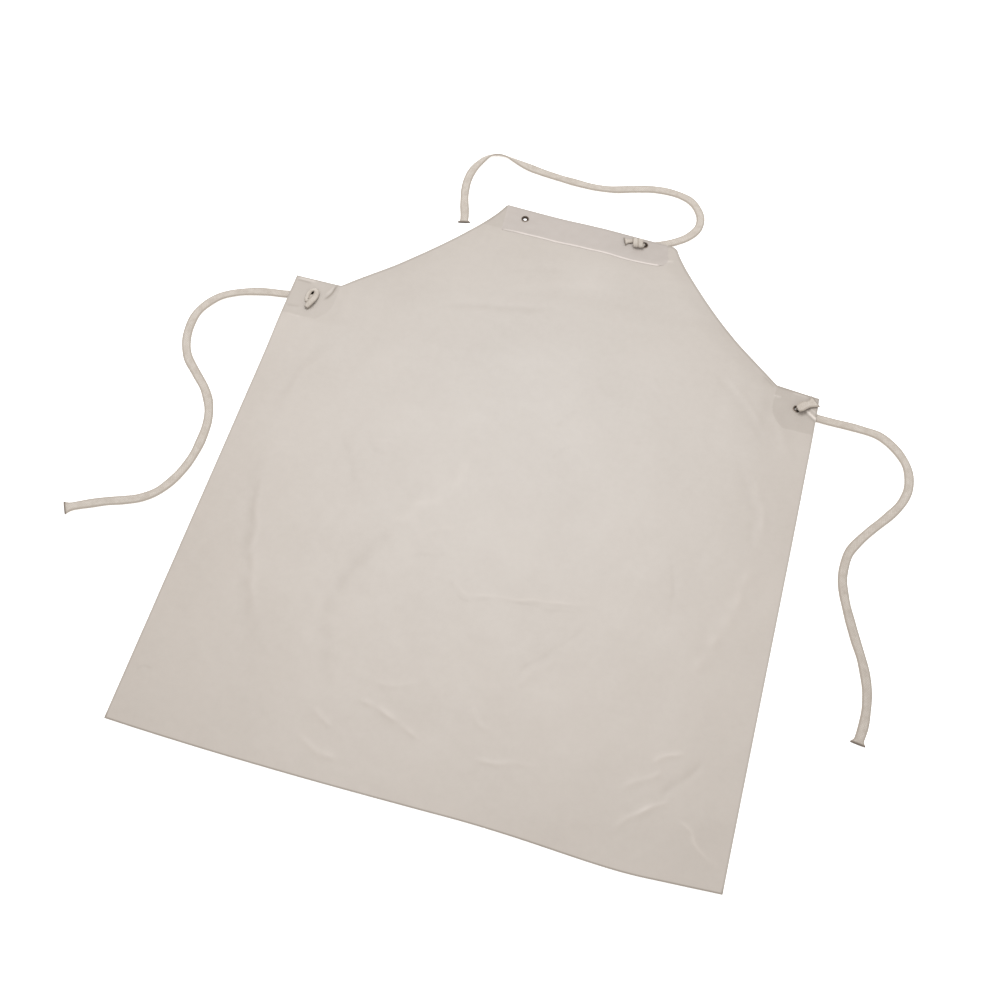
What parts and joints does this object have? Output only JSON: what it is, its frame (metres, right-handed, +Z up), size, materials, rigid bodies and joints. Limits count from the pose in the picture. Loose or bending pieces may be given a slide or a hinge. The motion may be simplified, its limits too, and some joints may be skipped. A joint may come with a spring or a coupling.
{
  "type": "butcher apron",
  "caption": "Bib apron of heavy PVC sheet laid flat, with a welded top hem, eyelets and flat braided neck and waist cords.",
  "frame": {"origin": "middle of the sheet's width and length, on the surface that the apron lies on", "axes": "+Y from the bottom edge to the bib, +X to the right as the front is looked at, +Z up out of the front"},
  "size_m": [1.276, 1.1978, 0.0157],
  "materials": {
    "vinyl_sheet": "semi-gloss, slightly translucent warm white",
    "vinyl_hem": "two layers welded together, a shade darker",
    "vinyl_patch": "second layer behind the tab, a shade darker",
    "eyelet_nickel": "nickel plate on pressed brass, slightly dulled",
    "cotton_braid": "undyed flat tubular braid with frayed cut ends"
  },
  "bodies": {
    "apron": {"apron_sheet": "vinyl_sheet", "top_hem": "vinyl_hem", "left_corner_patch": "vinyl_patch", "right_corner_patch": "vinyl_patch", "bib_eyelet_left": "eyelet_nickel", "bib_eyelet_left_washer": "eyelet_nickel", "bib_eyelet_right": "eyelet_nickel", "bib_eyelet_right_washer": "eyelet_nickel", "tab_eyelet_left": "eyelet_nickel", "tab_eyelet_left_washer": "eyelet_nickel", "tab_eyelet_right": "eyelet_nickel", "tab_eyelet_right_washer": "eyelet_nickel"},
    "neck_cord": {"neck_cord": "cotton_braid", "neck_cord_knot": "cotton_braid"},
    "left_waist_cord": {"left_waist_cord": "cotton_braid", "left_waist_cord_knot": "cotton_braid"},
    "right_waist_cord": {"right_waist_cord": "cotton_braid", "right_waist_cord_knot": "cotton_braid"}
  },
  "joints": [
    {"name": "neck_cord_swivel", "type": "hinge", "parent": "apron", "child": "neck_cord", "pos_m": [0.103, 0.5195, 0], "axis": [0, 0, 1], "range_deg": [-40, 0]},
    {"name": "left_waist_cord_swivel", "type": "hinge", "parent": "apron", "child": "left_waist_cord", "pos_m": [-0.416, 0.2575, 0], "axis": [0, 0, 1], "range_deg": [-60, 4]},
    {"name": "right_waist_cord_swivel", "type": "hinge", "parent": "apron", "child": "right_waist_cord", "pos_m": [0.417, 0.2635, 0], "axis": [0, 0, 1], "range_deg": [-12, 60]}
  ]
}
